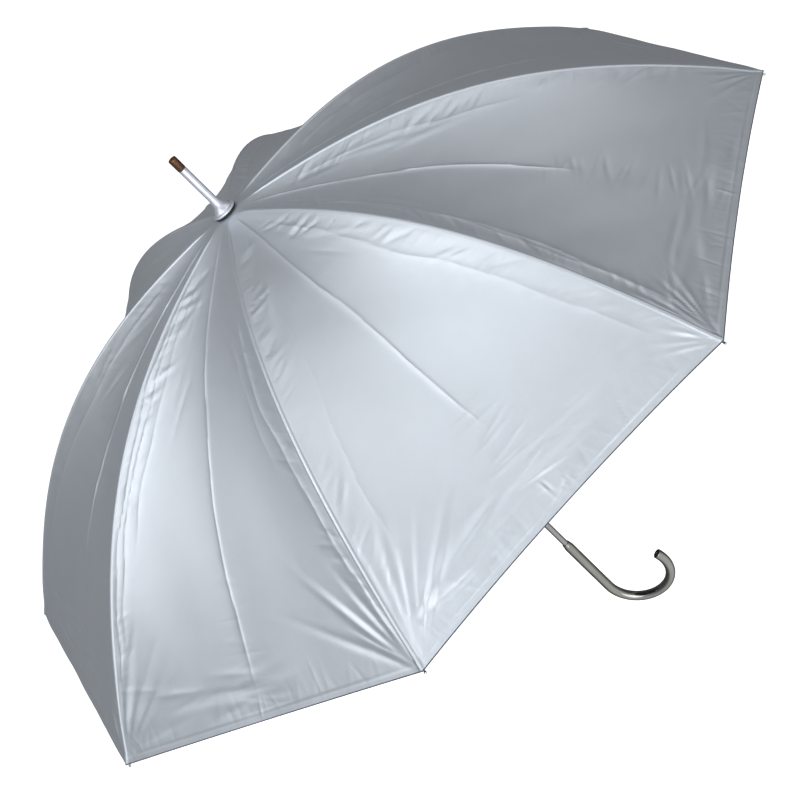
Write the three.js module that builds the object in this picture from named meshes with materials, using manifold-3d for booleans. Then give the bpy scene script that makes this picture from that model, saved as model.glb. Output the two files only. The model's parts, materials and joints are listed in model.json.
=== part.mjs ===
// A long stick umbrella with eight ribs and a crook handle, standing open with its ferrule up.
// Millimetres, +Z up the shaft. The origin is the middle of the hand grip, on the shaft's axis,
// and the crook reaches towards +X. Ribs are numbered clockwise as seen from above.
import * as THREE from 'three';
import { mergeVertices } from 'three/addons/utils/BufferGeometryUtils.js';
import Module from 'manifold-3d';

const wasm = await Module();
wasm.setup();

// ---- Driving dimensions --------------------------------------------------------------------

const CROWN_Z = 656;              // height of the rib pivots above the grip's middle
const RIB_COUNT = 8;
const FIRST_RIB_ANGLE = 13;       // degrees from +X to rib 1
const RIB_STEP = -360 / RIB_COUNT;

const PIVOT_RADIUS = 12;          // pivot circle of the crown and of the runner alike
const RIB_LENGTH = 598;           // along the rib, pivot to tip
const ROOT_SLOPE = 5;             // degrees below level where a rib leaves the crown
const BEND = 41;                  // degrees that a tensioned rib bends by its tip
const BEND_EARLY = 0.95;          // under 1, the bend lies a little nearer the crown
const STRETCHER_AT = 246;         // along the rib, crown pivot to stretcher rivet
const FLEX_AT = STRETCHER_AT + 5.8;

const CHANNEL_WIDTH = 3.2;        // ribs and stretchers are steel U channels
const CHANNEL_HEIGHT = 3.2;
const CHANNEL_WALL = 0.6;
const BLADE = 1.2;                // flattened ends that turn in the slots
const EYE_RADIUS = 2;
const WIRE_RADIUS = 0.7;
const WIRE_HOLE = 1.05;
const RIVET_RADIUS = 0.8;
const RIVET_HOLE = 1.1;
const FORK_LENGTH = 25;           // long enough to take the rib inside it when closed
const FORK_GAP = 2;               // half the slot between the fork's cheeks
const FORK_CHEEK = 0.8;
const FORK_EYE_RADIUS = 1.6;

const SHAFT_RADIUS = 4;
const SHAFT_BORE = 3.3;
const SLIDE_BORE = 4.35;          // bores that clear the shaft
const SLOT_WIDTH = 2;
const SLOT_ROOT = 9.5;            // how near the axis the pivot slots reach

const CANOPY_CLEARANCE = 3.6;     // rib centreline to the cloth
const CANOPY_THICKNESS = 0.8;
const CANOPY_HOLE = 5.6;          // radius of the hole around the shaft
const GORE_SAG = 16;              // how far a gore dips between two ribs, mid length
const SAG_START = 12;             // the cloth lies flat on the crown up to here
const HEM_SCOOP = 7;              // how far the hem is cut in between two tips
const PANEL_GAP = 0.4;

const FERRULE_RADIUS = 4.8;
const FERRULE_TOP = 90;           // above the rib pivots
const FERRULE_BAND = 16;
const CAP_RADIUS = 15;

const RUNNER_SLEEVE = 46;
const RUNNER_RADIUS = 8;
const KEYWAY_DEPTH = 6.7;
const KEYWAY_WIDTH = 2.6;

const HANDLE_RADIUS = 6.1;
const HANDLE_BORE = 5.1;
const HANDLE_TOP = 45.7;
const HANDLE_TAPER = 8;
const CROOK_START = -45;
const CROOK_RADIUS = 42;
const CROOK_TURN = 198;           // degrees

const STRAP_LENGTH = 112;
const STRAP_WIDTH = 18;
const STRAP_DROP = 4;             // below the cloth

const ROUND = 16;                 // sides of a turned piece

const radians = THREE.MathUtils.degToRad;

// ---- Materials -----------------------------------------------------------------------------

const finish = (color, roughness, metalness) => () =>
  new THREE.MeshStandardMaterial({ color, roughness, metalness });
const steel = finish(0x9a9894, 0.3, 1);
const zincSteel = finish(0x8a8c8e, 0.35, 1);
const aluminium = finish(0xd4d6da, 0.28, 1);
const bronze = finish(0x7d6248, 0.3, 1);
const gunmetal = finish(0x8f8c85, 0.18, 1);
const blackPlastic = finish(0x141416, 0.5, 0);
const silverCloth = finish(0xbcc2ca, 0.45, 0.35);
const darkCloth = finish(0x343c4c, 0.8, 0);

// ---- Solids --------------------------------------------------------------------------------

function solid(geometry) {
  const bare = geometry.clone();
  bare.deleteAttribute('normal');
  bare.deleteAttribute('uv');
  const merged = mergeVertices(bare, 1e-4);
  const mesh = new wasm.Mesh({
    numProp: 3,
    vertProperties: new Float32Array(merged.attributes.position.array),
    triVerts: new Uint32Array(merged.index.array),
  });
  return new wasm.Manifold(mesh);
}

function geometryOf(manifold) {
  const mesh = manifold.getMesh();
  const geometry = new THREE.BufferGeometry();
  geometry.setAttribute('position', new THREE.BufferAttribute(mesh.vertProperties, 3));
  geometry.setIndex(new THREE.BufferAttribute(mesh.triVerts, 1));
  return geometry;
}

function join(...geometries) {
  return geometryOf(geometries.map(solid).reduce((whole, part) => whole.add(part)));
}

function cut(body, ...tools) {
  return geometryOf(tools.map(solid).reduce((rest, tool) => rest.subtract(tool), solid(body)));
}

// A box between two opposite corners.
function box(low, high) {
  const size = high.map((value, i) => value - low[i]);
  const middle = high.map((value, i) => (value + low[i]) / 2);
  return new THREE.BoxGeometry(...size).translate(...middle);
}

// A rod along Y, centred on (x, 0, z).
function rod(radius, length, x, z, sides = 8) {
  return new THREE.CylinderGeometry(radius, radius, length, sides).translate(x, 0, z);
}

// A flat plate: an outline in the XZ plane, as thick as given, centred on Y = 0.
function plate(outline, thickness) {
  const geometry = new THREE.ExtrudeGeometry(outline, { depth: thickness, bevelEnabled: false });
  return geometry.rotateX(Math.PI / 2).translate(0, thickness / 2, 0);
}

function polygon(points) {
  return new THREE.Shape(points.map(([x, y]) => new THREE.Vector2(x, y)));
}

// A turned solid about Z from a closed outline of [radius, z].
function turned(outline, sides = ROUND) {
  const closed = [...outline, outline[0]].map(([r, z]) => new THREE.Vector2(r, z));
  return new THREE.LatheGeometry(closed, sides).rotateX(Math.PI / 2).scale(1, -1, 1);
}

// LatheGeometry turns about Y; the rotation and mirror above leave faces that may point inwards.
function facingOut(geometry) {
  const bare = geometry.clone();
  bare.deleteAttribute('normal');
  bare.deleteAttribute('uv');
  const merged = mergeVertices(bare, 1e-4);
  const p = merged.attributes.position;
  const index = merged.index.array;
  const [a, b, c] = [new THREE.Vector3(), new THREE.Vector3(), new THREE.Vector3()];
  let volume = 0;
  for (let i = 0; i < index.length; i += 3) {
    a.fromBufferAttribute(p, index[i]);
    b.fromBufferAttribute(p, index[i + 1]);
    c.fromBufferAttribute(p, index[i + 2]);
    volume += a.dot(b.cross(c));
  }
  if (volume < 0) {
    for (let i = 0; i < index.length; i += 3) {
      [index[i], index[i + 1]] = [index[i + 1], index[i]];
    }
  }
  return merged;
}

const lathe = (outline, sides) => facingOut(turned(outline, sides));

// ---- The line of a rib ---------------------------------------------------------------------

// A rib bends most at its stretcher and not at all at its ends, so its slope follows a smooth step.
function ribSlope(s) {
  const u = THREE.MathUtils.clamp(s / RIB_LENGTH, 0, 1) ** BEND_EARLY;
  return radians(ROOT_SLOPE + BEND * u * u * (3 - 2 * u));
}

// Radius and height of the rib's centreline, s along it from the crown pivot.
function ribPoint(s) {
  const steps = 1 + Math.ceil(Math.abs(s) / 4);
  const ds = s / steps;
  const point = new THREE.Vector2(PIVOT_RADIUS, 0);
  for (let i = 0; i < steps; i += 1) {
    const slope = ribSlope((i + 0.5) * ds);
    point.x += Math.cos(slope) * ds;
    point.y -= Math.sin(slope) * ds;
  }
  return point;
}

class RibLine extends THREE.Curve {
  constructor(start, end) {
    super();
    this.start = start;
    this.end = end;
  }

  getPoint(t, target = new THREE.Vector3()) {
    const p = ribPoint(THREE.MathUtils.lerp(this.start, this.end, t));
    return target.set(p.x, 0, p.y);
  }
}

const rivetPoint = ribPoint(STRETCHER_AT);
const STRETCHER_LENGTH = Math.hypot(rivetPoint.x - PIVOT_RADIUS, rivetPoint.y);
const STRETCHER_SLOPE = Math.asin(-rivetPoint.y / STRETCHER_LENGTH);
const RUNNER_DROP = 2 * rivetPoint.y;   // runner pivots mirror the crown's about the rivet

// ---- Ribs and stretchers -------------------------------------------------------------------

// The channel's section: x is across the rib, and its open side faces +y, the inner side.
function channelSection() {
  const w = CHANNEL_WIDTH / 2;
  const h = CHANNEL_HEIGHT / 2;
  const inner = w - CHANNEL_WALL;
  return polygon([
    [-w, -h], [w, -h], [w, h], [inner, h],
    [inner, CHANNEL_WALL - h], [-inner, CHANNEL_WALL - h], [-inner, h], [-w, h],
  ]);
}

function channel(line, steps) {
  return new THREE.ExtrudeGeometry(channelSection(), { steps, extrudePath: line, bevelEnabled: false });
}

// Moves a shape drawn along +X from the origin onto the rib, at s, along its slope.
function onRib(geometry, s) {
  const p = ribPoint(s);
  return geometry.rotateY(ribSlope(s)).translate(p.x, 0, p.y);
}

// A flat eye at the origin with a bar that runs along +X into its channel's web.
function eyeBlade(barLength) {
  const eye = rod(EYE_RADIUS, BLADE, 0, 0);
  const bar = box([0, -BLADE / 2, -0.9], [barLength, BLADE / 2, 1.3]);
  return join(eye, bar);
}

function innerRib() {
  const channelStart = 5;
  const channelEnd = STRETCHER_AT + 5;
  const tongueEnd = FLEX_AT + 3 - STRETCHER_AT;
  const blade = onRib(eyeBlade(channelStart + 4), 0);
  const body = channel(new RibLine(channelStart, channelEnd), 5);
  const plug = onRib(box([3, -1.2, -1.6], [5, 1.2, 1.3]), STRETCHER_AT);
  const tongue = onRib(box([4, -BLADE / 2, -1.2], [tongueEnd, BLADE / 2, 0.6]), STRETCHER_AT);
  const wireHole = rod(WIRE_HOLE, 4, PIVOT_RADIUS, 0);
  const rivetHole = rod(RIVET_HOLE, 6, rivetPoint.x, rivetPoint.y);
  return cut(join(blade, body, plug, tongue), wireHole, rivetHole);
}

const TIP_START = RIB_LENGTH - 9;

function outerRib() {
  return channel(new RibLine(FLEX_AT + 0.8, TIP_START - 0.3), 8);
}

// The cap on a rib's end that the canopy is sewn to, with a small ball.
function ribTip() {
  const ballRadius = 1.6;
  const length = RIB_LENGTH + 3 - TIP_START;
  const outline = [[0, 0], [1.9, 0], [1.9, 5], [1.1, 8], [1.1, length - 2 * ballRadius]];
  for (let i = 1; i <= 3; i += 1) {
    const turn = radians(45 + 45 * i);
    outline.push([ballRadius * Math.sin(turn), length - ballRadius - ballRadius * Math.cos(turn)]);
  }
  outline[outline.length - 1][0] = 0;
  return onRib(lathe(outline, 8).rotateY(Math.PI / 2), TIP_START);
}

// Drawn along +X from the runner's wire, then sloped up to the rivet.
function stretcher() {
  const length = STRETCHER_LENGTH;
  const forkStart = length - FORK_LENGTH;
  const outside = FORK_GAP + FORK_CHEEK;
  const straight = new THREE.LineCurve3(
    new THREE.Vector3(5, 0, 0),
    new THREE.Vector3(forkStart, 0, 0),
  );
  const pieces = [
    eyeBlade(9),
    channel(straight, 1),
    box([forkStart - 2, -outside, -1.5], [forkStart + 2, outside, 1.5]),
    rod(RIVET_RADIUS, 2 * outside + 0.8, length, 0),
  ];
  for (const side of [-1, 1]) {
    const near = side * FORK_GAP;
    const far = side * outside;
    const [low, high] = [Math.min(near, far), Math.max(near, far)];
    pieces.push(box([forkStart + 1, low, -1.5], [length, high, 1.5]));
    pieces.push(rod(FORK_EYE_RADIUS, FORK_CHEEK, length, 0).translate(0, (near + far) / 2, 0));
  }
  const hole = rod(WIRE_HOLE, 4, 0, 0);
  return cut(join(...pieces), hole)
    .rotateY(-STRETCHER_SLOPE)
    .translate(PIVOT_RADIUS, 0, RUNNER_DROP);
}

// ---- Canopy --------------------------------------------------------------------------------

// A point of the gore between rib 0 and the next, v across from 0 to 1, at a height over the ribs.
function gorePoint(s, v, lift) {
  const u = THREE.MathUtils.clamp(s / RIB_LENGTH, 0, 1);
  const slope = ribSlope(s);
  const scoop = HEM_SCOOP * 4 * v * (1 - v) * Math.max(0, u - 0.6) / 0.4;
  const line = ribPoint(s - scoop);
  const across = radians(RIB_STEP);
  const a = new THREE.Vector3(line.x, 0, line.y);
  const b = new THREE.Vector3(line.x * Math.cos(across), line.x * Math.sin(across), line.y);
  const middle = across / 2;
  const normal = new THREE.Vector3(
    Math.sin(slope) * Math.cos(middle),
    Math.sin(slope) * Math.sin(middle),
    Math.cos(slope),
  );
  const free = THREE.MathUtils.clamp((s - SAG_START) / (RIB_LENGTH - SAG_START), 0, 1);
  const sag = GORE_SAG * Math.sin(Math.PI * free ** 0.85) * 4 * v * (1 - v);
  return a.lerp(b, v).addScaledVector(normal, lift - sag);
}

// The cloth that one rib carries, from mid gore to mid gore, as a thin closed shell.
function canopyPanel() {
  const rows = 12;
  const columns = 4;
  const start = -(PIVOT_RADIUS - CANOPY_HOLE);
  const positions = [];
  const faces = [];
  for (const lift of [CANOPY_CLEARANCE, CANOPY_CLEARANCE + CANOPY_THICKNESS]) {
    for (let i = 0; i <= rows; i += 1) {
      const s = i === 0 ? start : THREE.MathUtils.lerp(SAG_START, RIB_LENGTH, (i - 1) / (rows - 1));
      const edge = 0.5 - PANEL_GAP / (2 * Math.max(CANOPY_HOLE, ribPoint(s).x));
      for (let j = 0; j <= columns; j += 1) {
        const w = THREE.MathUtils.lerp(-edge, edge, j / columns);
        const p = w < 0 ? gorePoint(s, 1 + w, lift) : gorePoint(s, w, lift);
        if (w < 0) p.applyAxisAngle(new THREE.Vector3(0, 0, 1), -radians(RIB_STEP));
        positions.push(p.x, p.y, p.z);
      }
    }
  }
  const layer = (rows + 1) * (columns + 1);
  const at = (side, i, j) => side * layer + i * (columns + 1) + j;
  const quad = (a, b, c, d) => faces.push(a, b, c, a, c, d);
  for (let i = 0; i < rows; i += 1) {
    for (let j = 0; j < columns; j += 1) {
      quad(at(0, i, j), at(0, i, j + 1), at(0, i + 1, j + 1), at(0, i + 1, j));
      quad(at(1, i, j), at(1, i + 1, j), at(1, i + 1, j + 1), at(1, i, j + 1));
    }
    quad(at(0, i, 0), at(0, i + 1, 0), at(1, i + 1, 0), at(1, i, 0));
    quad(at(0, i, columns), at(1, i, columns), at(1, i + 1, columns), at(0, i + 1, columns));
  }
  for (let j = 0; j < columns; j += 1) {
    quad(at(0, 0, j), at(1, 0, j), at(1, 0, j + 1), at(0, 0, j + 1));
    quad(at(0, rows, j), at(0, rows, j + 1), at(1, rows, j + 1), at(1, rows, j));
  }
  const geometry = new THREE.BufferGeometry();
  geometry.setAttribute('position', new THREE.Float32BufferAttribute(positions, 3));
  geometry.setIndex(faces);
  return facingOut(geometry);
}

// The closing strap lies under the middle of the gore between ribs 2 and 3, in from the hem.
function underMidGore(geometry) {
  const hemEnd = RIB_LENGTH - 4;
  const lift = CANOPY_CLEARANCE - STRAP_DROP;
  const hem = gorePoint(hemEnd, 0.5, lift);
  const inner = gorePoint(hemEnd - STRAP_LENGTH, 0.5, lift);
  const reach = Math.hypot(hem.x, hem.y);
  const slope = Math.atan2(inner.z - hem.z, reach - Math.hypot(inner.x, inner.y));
  return geometry.rotateY(slope).translate(reach, 0, hem.z).rotateZ(Math.atan2(hem.y, hem.x));
}

function tieStrap() {
  const half = STRAP_WIDTH / 2;
  return underMidGore(box([-STRAP_LENGTH, -half, -0.5], [0, half, 0.5]));
}

function strapSnap() {
  const stud = lathe([[0, -3.3], [3, -3.3], [5, -2.2], [5.5, -0.8], [0, -0.8]], 12);
  return underMidGore(stud.translate(-STRAP_LENGTH + 12, 0, 0));
}

// ---- Crown and runner ----------------------------------------------------------------------

function pivotWire() {
  return new THREE.TorusGeometry(PIVOT_RADIUS, WIRE_RADIUS, 5, 24);
}

// A slotted disc with a groove for the pivot wire: what the crown and the runner share.
function slotted(body, low, high) {
  const slots = [];
  for (let i = 0; i < RIB_COUNT; i += 1) {
    const turn = radians(FIRST_RIB_ANGLE + RIB_STEP * i);
    slots.push(box([SLOT_ROOT, -SLOT_WIDTH / 2, low], [30, SLOT_WIDTH / 2, high]).rotateZ(turn));
  }
  const groove = new THREE.TorusGeometry(PIVOT_RADIUS, WIRE_HOLE, 5, 24);
  return cut(body, groove, ...slots);
}

const CROWN_PIN_Z = -11;

function crown() {
  const outline = [
    [SLIDE_BORE, -16], [8, -16], [8, -3.6], [14.6, -3.6],
    [14.6, 2.2], [SLIDE_BORE, 2.2],
  ];
  const pinHole = rod(1.3, 20, 0, CROWN_PIN_Z);
  return cut(slotted(lathe(outline, ROUND), -20, 5), pinHole);
}

function runner() {
  const bottom = -2 - RUNNER_SLEEVE;
  const outline = [
    [SLIDE_BORE, bottom], [RUNNER_RADIUS + 1.2, bottom], [RUNNER_RADIUS + 1.2, bottom + 3],
    [RUNNER_RADIUS, bottom + 5], [RUNNER_RADIUS, -8], [14.6, -4.2],
    [14.6, 2.2], [8.6, 2.2], [8.2, 6], [SLIDE_BORE, 6],
  ];
  const keyway = box([0, -KEYWAY_WIDTH / 2, bottom - 1], [KEYWAY_DEPTH, KEYWAY_WIDTH / 2, 7]);
  return cut(slotted(lathe(outline, ROUND), -2.7, 8), keyway).translate(0, 0, RUNNER_DROP);
}

// ---- Shaft, catches and ferrule --------------------------------------------------------------

const RUNNER_BOTTOM = RUNNER_DROP - 2 - RUNNER_SLEEVE;
const RUNNER_CLOSED_DROP = -2 * STRETCHER_LENGTH * Math.sin(radians(87.2));
const TOP_CATCH_Z = RUNNER_BOTTOM - 0.8;
const BOTTOM_CATCH_Z = RUNNER_CLOSED_DROP + 6.8;
const STOP_PIN_Z = RUNNER_DROP + 10;
const CATCH_LENGTH = 24;
const CATCH_REACH = 6.2;

// A leaf inside the tube whose nose stands out through a slot; its square end is at z = 0.
function catchLeaf() {
  return plate(polygon([
    [1, 0], [CATCH_REACH, 0], [CATCH_REACH, -2], [3.4, -15],
    [2.4, -CATCH_LENGTH], [-1.6, -CATCH_LENGTH], [-1.6, -19], [1, -14],
  ]), BLADE);
}

function catchSlot(z, direction) {
  const ends = [z + 1.1 * direction, z - 17 * direction];
  return box([0, -0.9, Math.min(...ends)], [SHAFT_RADIUS + 1, 0.9, Math.max(...ends)]);
}

const SHAFT_TOP = 45;
const SHAFT_BOTTOM = -CROWN_Z + 8;

function shaft() {
  const tube = lathe([
    [SHAFT_BORE, SHAFT_BOTTOM], [SHAFT_RADIUS, SHAFT_BOTTOM],
    [SHAFT_RADIUS, SHAFT_TOP], [SHAFT_BORE, SHAFT_TOP],
  ]);
  return cut(
    tube,
    catchSlot(TOP_CATCH_Z, 1),
    catchSlot(BOTTOM_CATCH_Z, -1),
    rod(1.2, 12, 0, CROWN_PIN_Z),
    rod(1.2, 12, 0, STOP_PIN_Z),
  );
}

const CAP_BOTTOM = 7.5;

// The ferrule flares like a trumpet into the cap that holds the canopy down.
function ferrule() {
  const bore = SLIDE_BORE;
  const outline = [[bore, CAP_BOTTOM], [CAP_RADIUS - 0.6, CAP_BOTTOM], [CAP_RADIUS, CAP_BOTTOM + 0.8]];
  outline.push([CAP_RADIUS, CAP_BOTTOM + 2], [CAP_RADIUS - 0.8, CAP_BOTTOM + 2.8]);
  const flareSteps = 5;
  const flareStart = 11.5;
  const flareHeight = 19;
  for (let i = 0; i <= flareSteps; i += 1) {
    const t = i / flareSteps;
    const radius = FERRULE_RADIUS + (flareStart - FERRULE_RADIUS) * (1 - t) ** 2.4;
    outline.push([radius, CAP_BOTTOM + 3.4 + flareHeight * t]);
  }
  const top = FERRULE_TOP - FERRULE_BAND - 0.3;
  outline.push([FERRULE_RADIUS, top], [bore, top]);
  return lathe(outline);
}

function ferruleTip() {
  const bottom = FERRULE_TOP - FERRULE_BAND;
  const radius = FERRULE_RADIUS + 0.15;
  return lathe([
    [0, bottom], [radius, bottom], [radius, FERRULE_TOP - 0.8],
    [radius - 0.8, FERRULE_TOP], [0, FERRULE_TOP],
  ]);
}

function capWasher() {
  return lathe([[SLIDE_BORE, 5.6], [14.2, 5.6], [14.2, 7.2], [SLIDE_BORE, 7.2]]);
}

// ---- Handle, in the row's own height ---------------------------------------------------------

class CrookLine extends THREE.Curve {
  constructor() {
    super();
    this.straight = HANDLE_TOP - HANDLE_TAPER + 1 - CROOK_START;
    this.arc = radians(CROOK_TURN) * CROOK_RADIUS;
  }

  getPoint(t, target = new THREE.Vector3()) {
    const run = t * (this.straight + this.arc) - this.straight;
    if (run <= 0) return target.set(0, 0, CROOK_START - run);
    const turn = run / CROOK_RADIUS;
    const reach = CROOK_RADIUS * (1 - Math.cos(turn));
    return target.set(reach, 0, CROOK_START - CROOK_RADIUS * Math.sin(turn));
  }
}

function handle() {
  const section = new THREE.Shape().absarc(0, 0, HANDLE_RADIUS, 0, 2 * Math.PI);
  section.holes.push(new THREE.Path().absarc(0, 0, HANDLE_BORE, 0, 2 * Math.PI));
  const tube = new THREE.ExtrudeGeometry(section, {
    steps: 22, curveSegments: 6, extrudePath: new CrookLine(), bevelEnabled: false,
  });
  const neck = HANDLE_TOP - HANDLE_TAPER;
  const collar = lathe([
    [4.9, HANDLE_TOP], [5.6, HANDLE_TOP - 3.5], [HANDLE_RADIUS, neck], [HANDLE_RADIUS, neck - 2],
    [HANDLE_BORE, neck - 2], [HANDLE_BORE, neck], [4.5, HANDLE_TOP - 3], [4.5, HANDLE_TOP],
  ], 14);
  return join(tube, collar);
}

function handlePlug() {
  const turn = radians(CROOK_TURN);
  const plug = lathe([[0, -6], [4, -6], [4.3, -1.5], [4.3, 0.4], [3.8, 1], [0, 1]], 12);
  const reach = CROOK_RADIUS * (1 - Math.cos(turn));
  return plug
    .rotateY(Math.PI - turn)
    .translate(reach, 0, CROOK_START - CROOK_RADIUS * Math.sin(turn));
}

function handleBush() {
  return lathe([[SLIDE_BORE, 12], [4.8, 12], [4.8, 36], [SLIDE_BORE, 36]], 12);
}

// ---- Assembly --------------------------------------------------------------------------------

const umbrella = new THREE.Group();
const top = new THREE.Group();
top.position.z = CROWN_Z;
umbrella.add(top);

function add(group, name, geometry, material) {
  const mesh = new THREE.Mesh(geometry, material());
  mesh.name = name;
  group.add(mesh);
  return mesh;
}

add(umbrella, 'handle', handle(), gunmetal);
add(umbrella, 'handle_plug', handlePlug(), blackPlastic);
add(umbrella, 'handle_bush', handleBush(), blackPlastic);

add(top, 'shaft', shaft(), steel);
add(top, 'ferrule', ferrule(), aluminium);
add(top, 'ferrule_tip', ferruleTip(), bronze);
add(top, 'cap_washer', capWasher(), blackPlastic);
add(top, 'crown', crown(), blackPlastic);
add(top, 'crown_wire', pivotWire(), steel);
add(top, 'crown_pin', rod(1, 18, 0, CROWN_PIN_Z), steel);
add(top, 'stop_pin', rod(0.9, 11, 0, STOP_PIN_Z), steel);
add(top, 'runner', runner(), blackPlastic);
add(top, 'runner_wire', pivotWire().translate(0, 0, RUNNER_DROP), steel);
add(top, 'top_catch', catchLeaf().translate(0, 0, TOP_CATCH_Z), steel);
add(top, 'bottom_catch', catchLeaf().scale(1, -1, -1).translate(0, 0, BOTTOM_CATCH_Z), steel);

for (let i = 0; i < RIB_COUNT; i += 1) {
  const spoke = new THREE.Group();
  spoke.rotation.z = radians(FIRST_RIB_ANGLE + RIB_STEP * i);
  top.add(spoke);
  add(spoke, `rib_inner_${i + 1}`, innerRib(), zincSteel);
  add(spoke, `rib_outer_${i + 1}`, outerRib(), zincSteel);
  add(spoke, `rib_tip_${i + 1}`, ribTip(), steel);
  add(spoke, `stretcher_${i + 1}`, stretcher(), zincSteel);
  add(spoke, `canopy_panel_${i + 1}`, canopyPanel(), silverCloth);
  if (i === 1) {
    add(spoke, 'tie_strap', tieStrap(), darkCloth);
    add(spoke, 'strap_snap', strapSnap(), steel);
  }
}

export default umbrella;
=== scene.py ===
"""A silver stick umbrella, open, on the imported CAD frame. Lengths in the helpers are millimetres."""

import json
import math

import bmesh
import bpy
import numpy as np
from mathutils import Euler, Matrix, Vector


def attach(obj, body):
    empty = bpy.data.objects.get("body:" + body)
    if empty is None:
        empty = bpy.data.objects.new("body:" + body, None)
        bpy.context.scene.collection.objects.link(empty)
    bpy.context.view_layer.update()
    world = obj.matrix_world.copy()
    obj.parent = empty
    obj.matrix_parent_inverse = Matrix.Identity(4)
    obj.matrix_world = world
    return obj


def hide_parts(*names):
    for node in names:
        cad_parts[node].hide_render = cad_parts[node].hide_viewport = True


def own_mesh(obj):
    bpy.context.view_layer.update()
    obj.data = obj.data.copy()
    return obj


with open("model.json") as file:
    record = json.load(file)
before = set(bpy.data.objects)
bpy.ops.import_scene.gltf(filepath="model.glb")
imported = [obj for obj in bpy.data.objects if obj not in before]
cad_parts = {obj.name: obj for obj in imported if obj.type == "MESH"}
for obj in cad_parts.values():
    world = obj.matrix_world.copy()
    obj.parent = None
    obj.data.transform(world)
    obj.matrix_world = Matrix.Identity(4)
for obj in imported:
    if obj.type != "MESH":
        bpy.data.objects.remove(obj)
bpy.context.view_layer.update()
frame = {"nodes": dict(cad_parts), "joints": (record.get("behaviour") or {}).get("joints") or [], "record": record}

MM = 0.001

# ---- Dimensions shared with the CAD source --------------------------------------------------

CROWN_Z = 656.0
RIB_COUNT = 8
FIRST_RIB_ANGLE = 13.0
RIB_STEP = -360.0 / RIB_COUNT
PIVOT_RADIUS = 12.0
RIB_LENGTH = 598.0
ROOT_SLOPE = 5.0
BEND = 41.0
BEND_EARLY = 0.95
FLEX_AT = 251.8
CANOPY_CLEARANCE = 3.6
CANOPY_THICKNESS = 0.8
GORE_SAG = 16.0
SAG_START = 12.0
FERRULE_RADIUS = 4.8
FERRULE_BORE = 4.35         # a little over the shaft's radius
FERRULE_TOP = 90.0
FERRULE_BAND = 16.0
CAP_RADIUS = 15.0
CAP_BOTTOM = 7.5
WASHER_RADIUS = 14.2
WASHER_BOTTOM = 5.6
WASHER_TOP = 7.2
HANDLE_RADIUS = 6.1
HANDLE_TOP = 45.7
CROOK_START = -45.0
CROOK_RADIUS = 42.0
CROOK_TURN = 198.0
STRAP_LENGTH = 112.0
STRAP_WIDTH = 18.0
STRAP_INSET = 4.0           # from the hem's edge, and also how far it hangs under the cloth's inside
SNAP_INSET = 12.0           # from the strap's free end

# ---- How the cloth is sewn ------------------------------------------------------------------

HEM_SCOOPS = (5.5, 7.0, 1.0, 2.0, 4.0, 4.0, 4.0, 3.0)      # how hollow each gore's hem is cut
SEAM_HALF = 1.5             # half the width of the sewn seam over each rib
SEAM_SHOULDER = 1.3         # how far the seam's edge takes to run out
SEAM_HEIGHT = 1.1
TIP_DRAW = 1.5              # how far the corner of the cloth is drawn down onto the rib's tip
RIDGE_FALL = 0.414          # slope of a flat gore from its rib, the tangent of half a gore's angle
RIDGE_ROUND = 2.5           # radius that rounds the cloth off over the rib
CLOTH_START = -4.0
CLOTH_TOP = CANOPY_CLEARANCE + CANOPY_THICKNESS
SHELL_DEPTH = 0.6           # thickness of a piece of cloth
LAP_GAP = 0.3               # between the inner cloth and the outer cloth's lap under it
LAP_THICKNESS = 0.3

# ---- The folded umbrella, which decides where the cloth is divided --------------------------

FOLD_JOINT = next(joint for joint in frame["joints"] if joint["name"] == "canopy_fold")
CLOSE_ANGLE = math.radians(FOLD_JOINT["range_deg"][1])
FLEX_SHARE = 0.288          # how far a rib flexes for each degree that it folds
FLEX_ANGLE = FLEX_SHARE * CLOSE_ANGLE
PLEAT_GAP = 0.4             # half the gap between two neighbouring pleats when folded
PLEAT_SPREAD = 0.0105       # how much a pleat's root opens, per length down the shaft

GORE = math.radians(RIB_STEP)
HALF_GORE = abs(GORE) / 2


def smooth(low, high, x):
    """Rises gently from 0 at low to 1 at high."""
    t = np.clip((x - low) / (high - low), 0.0, 1.0)
    return t * t * (3 - 2 * t)


# ---- The line of a rib ----------------------------------------------------------------------


def rib_slope(s):
    """How steeply the rib runs down, s along it from its pivot."""
    u = np.clip(s / RIB_LENGTH, 0.0, 1.0) ** BEND_EARLY
    return np.radians(ROOT_SLOPE + BEND * u * u * (3 - 2 * u))


LINE_STEP = 0.5
LINE_S = np.arange(-20.0, RIB_LENGTH + 12.0, LINE_STEP)
LINE_SLOPE = rib_slope(LINE_S[:-1] + LINE_STEP / 2)
LINE_R = np.concatenate([[0.0], np.cumsum(np.cos(LINE_SLOPE) * LINE_STEP)])
LINE_Z = np.concatenate([[0.0], -np.cumsum(np.sin(LINE_SLOPE) * LINE_STEP)])
LINE_R += PIVOT_RADIUS - np.interp(0.0, LINE_S, LINE_R)
LINE_Z -= np.interp(0.0, LINE_S, LINE_Z)


def rib_point(s):
    """Radius and height of the rib's centreline, s along it from its pivot."""
    return np.interp(s, LINE_S, LINE_R), np.interp(s, LINE_S, LINE_Z)


def rib_angle(k):
    """Where rib k stands round the shaft."""
    return math.radians(FIRST_RIB_ANGLE + RIB_STEP * (k - 1))


# ---- Wrinkles -------------------------------------------------------------------------------

# What sets each gore's cloth apart. Gore 0 lies between ribs 1 and 2, and so on round. A side is -1
# by the gore's first rib and 1 by its second. The gores without an entry look alike in kind.

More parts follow.
